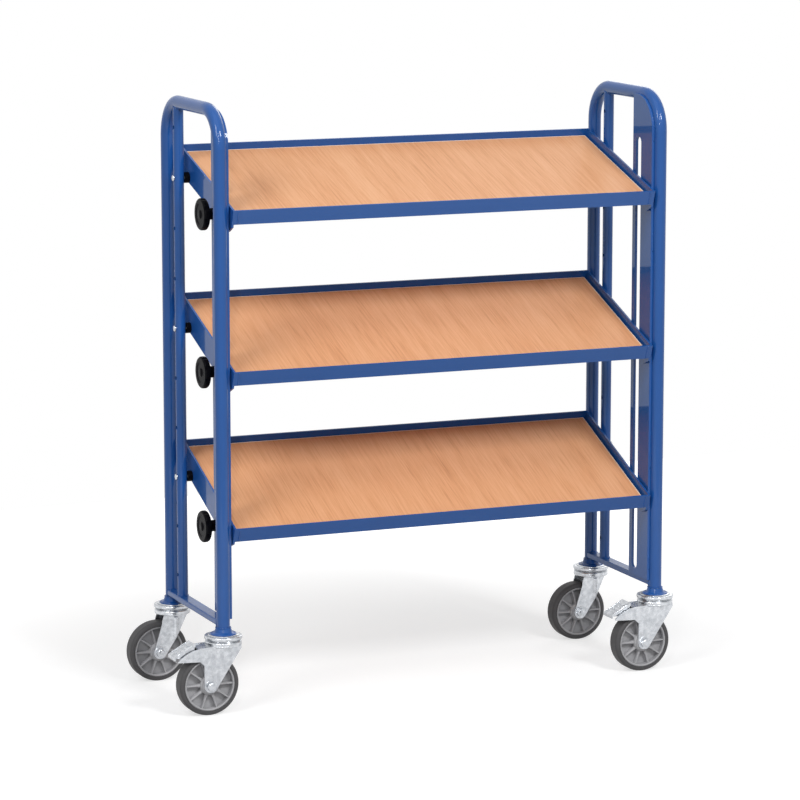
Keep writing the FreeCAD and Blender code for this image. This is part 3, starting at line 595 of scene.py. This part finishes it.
def weld_side(side, sign):
    loop_low, loop_high = box_in_mm(f"{side}_loop_tube")
    bar_low, bar_high = box_in_mm(f"{side}_cross_bar")
    plate_low, plate_high = box_in_mm(f"{side}_guide_plate")
    post = middle_of(f"{side}_hole_post") / MM
    tube_x = (loop_low.x + loop_high.x) / 2
    top_z = loop_high.z - TUBE_RADIUS
    shape = bmesh.new()
    for tube_y, inward in ((loop_low.y + TUBE_RADIUS, 1), (loop_high.y - TUBE_RADIUS, -1)):
        seam = bar_seam(tube_x, tube_y, inward, bar_low.z + BAR_INSET, bar_high.z - BAR_INSET)
        add_bead(shape, seam, BAR_BEAD, closed=True)
    foot = post_seam(post, lambda across: bar_high.z + POST_GAP)
    saddle = post_seam(post, lambda across: top_z - tube_reach(across) - POST_GAP)
    add_bead(shape, foot, POST_BEAD, closed=True)
    add_bead(shape, saddle, POST_BEAD, closed=True)
    outer_x = plate_high.x if sign > 0 else plate_low.x
    for low, high in STITCHES:
        run = stitch(outer_x - sign * STITCH_INSET, plate_low.y + STITCH_SINK, low, high)
        add_bead(shape, run, STITCH_BEAD)
    return finish_piece(f"{side}_weld_beads", shape, BLUE, "frame", crease=WELD_CREASE)


WELDS = [weld_side("left", -1), weld_side("right", 1)]
print("welds:", [piece.name for piece in WELDS])

# %% [markdown]
# The trays are welded too. The folded ends of the side rails meet the ends of the front and rear rails in
# four upright seams, which show on the outside of each corner. The trays lie at a tilt, so a seam is found
# in the tray's own level frame and turned back.

# %% Weld the trays
TRAY_BEAD = 1.3
TRAY_RIPPLE = 0.25
TRAY_SEAM_INSET = 1.0


def level_frame(shelf):
    return Matrix.Rotation(-math.radians(SHELF_TILTS[shelf]), 3, "X")


def level_box(node, level):
    """Lowest and highest corners of a node, in mm, in a turned frame."""
    points = [level @ vertex.co / MM for vertex in nodes[node].data.vertices]
    low = Vector([min(point[axis] for point in points) for axis in range(3)])
    high = Vector([max(point[axis] for point in points) for axis in range(3)])
    return low, high


def weld_tray(shelf):
    level = level_frame(shelf)
    back = level.transposed()
    shape = bmesh.new()
    for rail, front in (("front", True), ("rear", False)):
        low, high = level_box(f"{shelf}_{rail}_rail", level)
        y = low.y if front else high.y
        for x in (low.x, high.x):
            seam = stitch(x, y, low.z + TRAY_SEAM_INSET, high.z - TRAY_SEAM_INSET)
            add_bead(shape, [back @ point for point in seam], TRAY_BEAD, ripple=TRAY_RIPPLE)
    name = f"{shelf}_tray_welds"
    return finish_piece(name, shape, BLUE, f"{shelf}_shelf", crease=WELD_CREASE)


SHELVES = ("top", "middle", "bottom")
for shelf in SHELVES:
    weld_tray(shelf)
print("welded", len(SHELVES), "trays")

# %% [markdown]
# ## Swivel heads
# The top plate of a caster is a pressing: a raised pad under the upright's collar, a rolled lip round the
# rim and a bright ring that covers the balls in the gap above the fork. All are zinc rings turned round the
# swivel axis. The feet also get the rough weld that joins the collar to the pad.

# %% Dress the swivel heads
# Profiles: radius and height over the floor, in mm
HEAD_PAD = ((24.8, 159.9), (31.4, 159.9), (31.4, 161.0), (30.8, 161.7), (30.0, 162.0), (25.6, 162.0))
HEAD_LIP = ((35.6, 152.7), (37.4, 152.9), (38.2, 153.7), (38.3, 154.6), (37.8, 155.4), (36.2, 155.7))
RACE_COVER = ((27.6, 150.3), (35.4, 150.2), (36.3, 150.6), (36.6, 151.2), (36.3, 151.8), (35.4, 152.2),
              (27.6, 152.2))
PAD_WELD = {"radius": 24.4, "height": 162.2, "bead": 2.0, "ripple": 0.22, "pitch": 5.0}
TUBE_WELD = {"radius": 15.2, "height": 174.6, "bead": 1.1, "ripple": 0.30, "pitch": 4.0}
RING_WELD_STEPS = 56
TRAIL = 35.0 * MM
CORNERS = ("front_left", "front_right", "rear_left", "rear_right")


def swivel_axis(corner):
    hub = middle_of(f"{corner}_tyre")
    return Vector((hub.x + TRAIL, hub.y, 0))


def add_ring_weld(shape, axis, weld):
    """A closed bead of weld round the swivel axis."""
    middle = axis / MM
    radius = weld["radius"]
    seam = []
    for turn in turns(RING_WELD_STEPS):
        x = middle.x + radius * math.cos(turn)
        y = middle.y + radius * math.sin(turn)
        seam.append(Vector((x, y, weld["height"])))
    add_bead(shape, seam, weld["bead"], closed=True, ripple=weld["ripple"], pitch=weld["pitch"])


def dress_head(corner):
    axis = swivel_axis(corner)
    steel = bmesh.new()
    add_turned(steel, HEAD_PAD, axis, "z")
    add_turned(steel, HEAD_LIP, axis, "z", steps=96)
    finish_piece(f"{corner}_head_pressing", steel, ZINC, "frame")
    cover = bmesh.new()
    add_turned(cover, RACE_COVER, axis, "z", steps=96)
    finish_piece(f"{corner}_race_cover", cover, ZINC, "frame")
    weld = bmesh.new()
    add_ring_weld(weld, axis, PAD_WELD)
    add_ring_weld(weld, axis, TUBE_WELD)
    finish_piece(f"{corner}_collar_weld", weld, BLUE, "frame", crease=WELD_CREASE)


for corner in CORNERS:
    dress_head(corner)
print("dressed", len(CORNERS), "swivel heads")

# %% [markdown]
# ## Forks and axles
# A fork is pressed from one sheet. The press leaves a rolled bead under the crown and an upright rib down
# each leg: shallow on the braked forks, and a bold half-round along the fold of the plain ones. The axle
# bolt sits on washers; its head has a domed cap, and the end of its thread shows beyond the nut. A rib is a
# small lofted swelling, the rest is turned.

# %% Dress the forks
FORK_OUTSIDE = 24.0
AXLE_Z = 62.5
# Profiles: radius and height over the floor for the crown, radius and distance from the leg for the rest
CROWN_BEAD = ((35.4, 139.6), (36.6, 140.0), (37.3, 141.0), (37.3, 142.2), (36.8, 143.0), (35.6, 143.2))
WASHER = ((8.4, 0.0), (12.2, 0.0), (12.2, 0.9), (11.8, 1.3), (8.4, 1.3))
HEAD_DOME = ((0.01, 5.8), (7.6, 5.8), (7.0, 6.7), (5.0, 7.3), (2.5, 7.6), (0.01, 7.7))
THREAD = ((0.01, 5.8), (4.7, 5.8), (4.2, 6.2), (4.7, 6.6), (4.2, 7.0), (4.7, 7.4), (4.2, 7.8), (4.6, 8.2),
          (3.8, 8.9), (0.01, 8.9))
RIB_TOP = 138.0
RIB_ROWS = 20
RIB_COLUMNS = 12
SINK = 0.2
BRAKED_RIB = {"middle": 4.0, "half_width": 8.0, "depth": 2.2, "foot": 93.0, "foot_slope": 1.5,
              "fold_slope": 0.0, "ease": 3.0}
PLAIN_RIB = {"middle": 0.0, "half_width": 6.5, "depth": 6.0, "foot": 92.0, "foot_slope": 1.5,
             "fold_slope": 0.466, "ease": 10.0}


def mirrored(profile, face, sign):
    return [(radius, sign * (face + height)) for radius, height in profile]


def rib_place(rib, sign, share, across):
    """A point of a rib in mm: share runs from its foot to its top, across from -1 to 1."""
    fade = math.sin(math.pi / 2 * min(1.0, share * rib["ease"], (1 - share) * rib["ease"]))
    x = rib["middle"] + across * rib["half_width"]
    foot = rib["foot"] + rib["foot_slope"] * x
    bulge = rib["depth"] * fade * math.cos(across * math.pi / 2)
    swell = bulge - SINK - max(0.0, x) * rib["fold_slope"]
    return Vector((x, sign * (FORK_OUTSIDE + swell), foot + (RIB_TOP - foot) * share))


def add_rib(shape, axis, sign, rib):
    """A swelling pressed out of a fork leg's outer face; its foot follows the slope of the leg's edge."""
    grid = []
    for row in range(RIB_ROWS + 1):
        line = []
        for column in range(RIB_COLUMNS + 1):
            place = rib_place(rib, sign, row / RIB_ROWS, column / RIB_COLUMNS * 2 - 1)
            line.append(shape.verts.new(axis + place * MM))
        grid.append(line)
    for here, above in zip(grid, grid[1:]):
        for column in range(RIB_COLUMNS):
            shape.faces.new((here[column], here[column + 1], above[column + 1], above[column]))


def dress_fork(corner):
    axis = swivel_axis(corner)
    hub = axis + Vector((-TRAIL, 0, AXLE_Z * MM))
    shape = bmesh.new()
    add_turned(shape, CROWN_BEAD, axis, "z", steps=96)
    for sign in (-1, 1):
        add_turned(shape, mirrored(WASHER, FORK_OUTSIDE, sign), hub, "y", steps=48)
        add_rib(shape, axis, sign, BRAKED_RIB if corner.startswith("front") else PLAIN_RIB)
    add_turned(shape, mirrored(HEAD_DOME, FORK_OUTSIDE, -1), hub, "y", steps=32)
    add_turned(shape, mirrored(THREAD, FORK_OUTSIDE, 1), hub, "y", steps=32)
    return finish_piece(f"{corner}_fork_details", shape, ZINC, f"{corner}_caster")


for corner in CORNERS:
    dress_fork(corner)
print("dressed", len(CORNERS), "forks")

# %% [markdown]
# ## Wheel centres and tyres
# The wheel centre is one plastic moulding. Its ten ribs flare where they meet the hub and have rounded
# edges that catch the light, and a raised lip runs round the rim. The tyre has a fine moulding line on each
# side wall.

# %% Dress the wheels
# Profiles: radius and distance from the wheel's middle, in mm; the ribs' outline: reach and half width
RIM_LIP = ((49.0, 15.2), (49.4, 16.0), (50.2, 16.4), (51.6, 16.4), (52.3, 16.0), (52.6, 15.2))
TYRE_LINE = ((53.6, 16.8), (53.9, 17.3), (54.5, 17.5), (55.1, 17.3), (55.4, 16.8))
HUB_RING = ((16.6, 13.0), (20.4, 13.0), (20.0, 15.6), (18.6, 17.4), (16.6, 18.0))
RIB_OUTLINE = ((16.8, 4.6), (20.0, 3.4), (25.0, 2.4), (32.0, 1.8), (49.4, 1.6))
RIB_COUNT = 10
RIB_LOW = 4.0
RIB_HIGH = 13.8
RIB_EDGE = 0.9
SHOULDER_DROP = RIB_EDGE * 0.3
SHOULDER_INSET = RIB_EDGE * 0.35
RIB_LEVELS = ((RIB_LOW, 0.0), (RIB_HIGH - RIB_EDGE, 0.0), (RIB_HIGH - SHOULDER_DROP, SHOULDER_INSET),
              (RIB_HIGH, RIB_EDGE))


def add_flare(shape, hub, angle, sign):
    """One rib, wider at the hub and rounded at its outer edge, standing out from the wheel's web."""
    out = Vector((math.cos(angle), 0, math.sin(angle)))
    side = Vector((-math.sin(angle), 0, math.cos(angle)))
    edge = list(RIB_OUTLINE) + [(reach, -width) for reach, width in reversed(RIB_OUTLINE)]
    loops = []
    for height, inset in RIB_LEVELS:
        loop = []
        for reach, width in edge:
            narrowed = width - math.copysign(inset, width)
            place = out * reach + side * narrowed + Vector((0, sign * height, 0))
            loop.append(shape.verts.new(hub + place * MM))
        loops.append(loop)
    for low, high in zip(loops, loops[1:]):
        bridge(shape, low, high)
    top = loops[-1]
    count = len(edge)
    for index in range(count // 2 - 1):
        shape.faces.new((top[index], top[index + 1], top[count - 2 - index], top[count - 1 - index]))


def dress_wheel(corner):
    hub = middle_of(f"{corner}_tyre")
    centre = bmesh.new()
    rubber = bmesh.new()
    for sign in (-1, 1):
        add_turned(centre, mirrored(RIM_LIP, 0, sign), hub, "y", steps=96)
        add_turned(centre, mirrored(HUB_RING, 0, sign), hub, "y", steps=64)
        add_turned(rubber, mirrored(TYRE_LINE, 0, sign), hub, "y", steps=96)
        for angle in turns(RIB_COUNT):
            add_flare(centre, hub, angle, sign)
    finish_piece(f"{corner}_wheel_ribs", centre, GREY, f"{corner}_wheel")
    finish_piece(f"{corner}_tyre_lines", rubber, RUBBER, f"{corner}_wheel")


for corner in CORNERS:
    dress_wheel(corner)
print("dressed", len(CORNERS), "wheels")

# %% [markdown]
# ## Brake pedals
# The pedal is a pressed plate with raised bars across it, so that a wet shoe does not slip. The bars are
# rounded strips laid on the sloping plate; two side beads stiffen it, and its edges are turned down between
# the arms.

# %% Pedal grips
PEDAL_LOW = Vector((-110.0, 0, 125.7))
PEDAL_SLOPE = math.radians(29.0)
GRIP_HALF = 15.0
# Places along the slope, from its low end, in mm
GRIP_PLACES = (9.0, 18.0, 27.0, 36.0)
PEDAL_BEADS = (6.0, 44.0)
PEDAL_EDGE = ((3.0, 1.0), (46.0, 1.0), (46.0, 6.0), (40.0, 10.0), (28.0, 12.5), (14.0, 10.0), (4.0, 5.0))
PEDAL_EDGE_INNER = 17.0
PEDAL_EDGE_OUTER = 18.6
GRIP_BEAD = 1.6
SIDE_BEAD = 1.3
SIDE_BEAD_OUT = 3.0       # how far the side beads lie beyond the grips' ends
BEAD_STEPS = 12


def add_pedal_edge(shape, start, along, sign):
    """One turned-down edge: a thin plate under the pedal's side, outlined by (reach, drop) pairs."""
    down = Vector((math.sin(PEDAL_SLOPE), 0, -math.cos(PEDAL_SLOPE)))
    walls = []
    for half in (PEDAL_EDGE_INNER, PEDAL_EDGE_OUTER):
        side = Vector((0, sign * half, 0))
        outline = [start + along * reach + down * drop + side for reach, drop in PEDAL_EDGE]
        walls.append([shape.verts.new(place * MM) for place in outline])
    inner, outer = walls
    bridge(shape, inner, outer)
    shape.faces.new(inner)
    shape.faces.new(outer)


def dress_pedal(corner):
    axis = swivel_axis(corner) / MM
    along = Vector((math.cos(PEDAL_SLOPE), 0, math.sin(PEDAL_SLOPE)))
    start = axis + PEDAL_LOW
    first, last = PEDAL_BEADS
    steps = range(BEAD_STEPS + 1)
    shape = bmesh.new()
    for reach in GRIP_PLACES:
        middle = start + along * reach
        grip = [middle + Vector((0, GRIP_HALF * (2 * n / BEAD_STEPS - 1), 0)) for n in steps]
        add_bead(shape, grip, GRIP_BEAD, ripple=0.0)
    for sign in (-1, 1):
        edge = Vector((0, sign * (GRIP_HALF + SIDE_BEAD_OUT), 0))
        rim = [start + edge + along * (first + (last - first) * n / BEAD_STEPS) for n in steps]
        add_bead(shape, rim, SIDE_BEAD, ripple=0.0)
        add_pedal_edge(shape, start, along, sign)
    name = f"{corner}_pedal_grips"
    return finish_piece(name, shape, ZINC, f"{corner}_brake_pedal", crease=WELD_CREASE)


for corner in CORNERS[:2]:
    dress_pedal(corner)
print("dressed the brake pedals")

# %% [markdown]
# ## Hand knobs
# A knob is a thick moulded disc with a shallow dish in its face. A domed cap in the middle closes the hole
# over the bolt, and a thin ring runs round the dish.

# %% Dress the knobs
# Profiles: radius and distance from the knob's face, in mm
KNOB_CAP = ((0.01, -1.4), (9.4, -1.4), (9.0, -0.4), (7.6, 0.5), (4.6, 1.1), (0.01, 1.3))
KNOB_RING = ((19.6, -1.4), (20.0, -0.5), (21.0, -0.2), (21.9, -0.5), (22.2, -1.4))


def dress_knob(shelf, side, sign):
    node = f"{shelf}_{side}_knob"
    low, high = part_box(node)
    face = high[0] if sign > 0 else low[0]
    centre = middle_of(node)
    centre.x = face
    shape = bmesh.new()
    add_turned(shape, mirrored(KNOB_CAP, 0, sign), centre, "x", steps=40)
    add_turned(shape, mirrored(KNOB_RING, 0, sign), centre, "x", steps=64)
    return finish_piece(f"{node}_cap", shape, BLACK, node)


for shelf in SHELVES:
    dress_knob(shelf, "left", -1)
    dress_knob(shelf, "right", 1)
print("dressed", 2 * len(SHELVES), "knobs")

# %% [markdown]
# ## Painted edge highlight
# A thin pale strip round each board is a painted highlight: the light line that the rounded board edges catch
# along the rails. It is one strip with a rounded shoulder, drawn round the board's upper edge and mitred at
# the corners.

# %% Paint the edge highlight round the boards
# Profile: inset from the board's edge and height over its face, in mm
HIGHLIGHT_STRIP_PROFILE = ((-0.2, -3.0), (-0.2, -0.5), (0.2, 0.05), (0.8, 0.2), (1.8, 0.2), (2.1, -0.1), (2.1, -3.0))


# The strip is a painted highlight: pale colour for the light that the board's rounded edge catches
def lay_edge_highlight(shelf):
    level = level_frame(shelf)
    flat = level.transposed()
    low, high = level_box(f"{shelf}_board", level)
    shape = bmesh.new()
    rings = []
    for right, back in ((0, 0), (1, 0), (1, 1), (0, 1)):
        ring = []
        for inset, height in HIGHLIGHT_STRIP_PROFILE:
            x = high.x - inset if right else low.x + inset
            y = high.y - inset if back else low.y + inset
            ring.append(shape.verts.new(flat @ Vector((x, y, high.z + height)) * MM))
        rings.append(ring)
    for here, following in zip(rings, rings[1:] + rings[:1]):
        bridge(shape, here, following)
    return finish_piece(f"{shelf}_board_edge_highlight", shape, EDGE_HIGHLIGHT_STRIP, f"{shelf}_shelf")


for shelf in SHELVES:
    lay_edge_highlight(shelf)
print("highlighted", len(SHELVES), "boards")

# %% [markdown]
# ## Floor and light
# The photograph has a white studio floor with faint soft shadows. The floor is matt; to the camera it also
# glows, less near the cart, where the soft shadows lie, and more away from it, so that it runs out into the
# white backdrop.

# %% Floor
FLOOR_HALF = 2.0
FLOOR_TONE = 0.50
FLOOR_ROUGHNESS = 0.9
FLOOR_GLOSS = 0.1
NEAR_GLOW = 0.62
FAR_GLOW = 1.0
GLOW_START = 0.55      # metres from the cart's middle
GLOW_END = 1.7


def backdrop_rays(tree):
    """1 for rays that see the white backdrop: the camera's own, and those that metal and glass send on."""
    rays = add_node(tree, "ShaderNodeLightPath", (-1000, -200))
    sent_on = add_node(tree, "ShaderNodeMath", (-800, -250), operation="MAXIMUM")
    join(tree, rays.outputs["Is Glossy Ray"], sent_on.inputs[0])
    join(tree, rays.outputs["Is Transmission Ray"], sent_on.inputs[1])
    seen = add_node(tree, "ShaderNodeMath", (-600, -200), operation="MAXIMUM")
    join(tree, rays.outputs["Is Camera Ray"], seen.inputs[0])
    join(tree, sent_on.outputs["Value"], seen.inputs[1])
    return seen.outputs["Value"]


def make_floor():
    mesh = bpy.data.meshes.new("studio_floor")
    shape = bmesh.new()
    bmesh.ops.create_grid(shape, x_segments=1, y_segments=1, size=FLOOR_HALF)
    shape.to_mesh(mesh)
    shape.free()
    floor = bpy.data.objects.new("studio_floor", mesh)
    scene.collection.objects.link(floor)
    material, tree, shader = new_finish("studio_floor")
    shader.inputs["Base Color"].default_value = (FLOOR_TONE, FLOOR_TONE, FLOOR_TONE, 1)
    shader.inputs["Roughness"].default_value = FLOOR_ROUGHNESS
    shader.inputs["Specular IOR Level"].default_value = FLOOR_GLOSS
    where = add_node(tree, "ShaderNodeTexCoord", (-1000, -500))
    reach = add_node(tree, "ShaderNodeVectorMath", (-800, -500), operation="LENGTH")
    join(tree, where.outputs["Object"], reach.inputs[0])
    level = add_node(tree, "ShaderNodeMapRange", (-600, -500), interpolation_type="SMOOTHSTEP")
    level.inputs["From Min"].default_value = GLOW_START
    level.inputs["From Max"].default_value = GLOW_END
    level.inputs["To Min"].default_value = NEAR_GLOW
    level.inputs["To Max"].default_value = FAR_GLOW
    join(tree, reach.outputs["Value"], level.inputs["Value"])
    glow = add_node(tree, "ShaderNodeMath", (-200, -300), operation="MULTIPLY")
    join(tree, backdrop_rays(tree), glow.inputs[0])
    join(tree, level.outputs["Result"], glow.inputs[1])
    shader.inputs["Emission Color"].default_value = (1, 1, 1, 1)
    join(tree, glow.outputs["Value"], shader.inputs["Emission Strength"])
    mesh.materials.append(material)


make_floor()
print("floor made")

# %% [markdown]
# The main light hangs high in front, so that each shelf shades the rear of the one below. A wide box and a
# tall narrow one stand to the left; the narrow one draws the thin white lines on the bends of the tubes. A
# weak one hangs overhead and a dim one stands behind to the right. The even grey of the world fills the
# shadows.

# %% Lights
WORLD_FILL = 0.20
BACKDROP = 1.0


def soft_box(name, place, aim, width, height, watts):
    data = bpy.data.lights.new(name, "AREA")
    data.shape = "RECTANGLE"
    data.size = width
    data.size_y = height
    data.energy = watts
    box = bpy.data.objects.new(name, data)
    box.location = place
    box.rotation_euler = (Vector(aim) - Vector(place)).to_track_quat("-Z", "Y").to_euler()
    scene.collection.objects.link(box)


def make_world():
    world = bpy.data.worlds.new("studio")
    scene.world = world
    world.use_nodes = True
    tree = world.node_tree
    background = tree.nodes["Background"]
    strength = add_node(tree, "ShaderNodeMapRange", (-200, 0))
    strength.inputs["To Min"].default_value = WORLD_FILL
    strength.inputs["To Max"].default_value = BACKDROP
    join(tree, backdrop_rays(tree), strength.inputs["Value"])
    background.inputs["Color"].default_value = (1, 1, 1, 1)
    join(tree, strength.outputs["Result"], background.inputs["Strength"])


soft_box("left_box", (-3.6, -2.2, 3.9), aim=(0, 0, 0.6), width=1.6, height=2.2, watts=80)
soft_box("second_left_box", (-2.4, -4.6, 3.0), aim=(0, 0, 0.6), width=0.18, height=2.2, watts=48)
soft_box("front_box", (0.9, -4.2, 3.9), aim=(0, 0, 0.5), width=1.2, height=1.2, watts=140)
soft_box("overhead_box", (-0.8, -0.9, 4.2), aim=(0, 0, 0.0), width=2.6, height=2.2, watts=10)
soft_box("back_box", (3.2, 3.6, 2.8), aim=(0, 0, 0.6), width=2.4, height=2.4, watts=34)
make_world()
print("lights made")
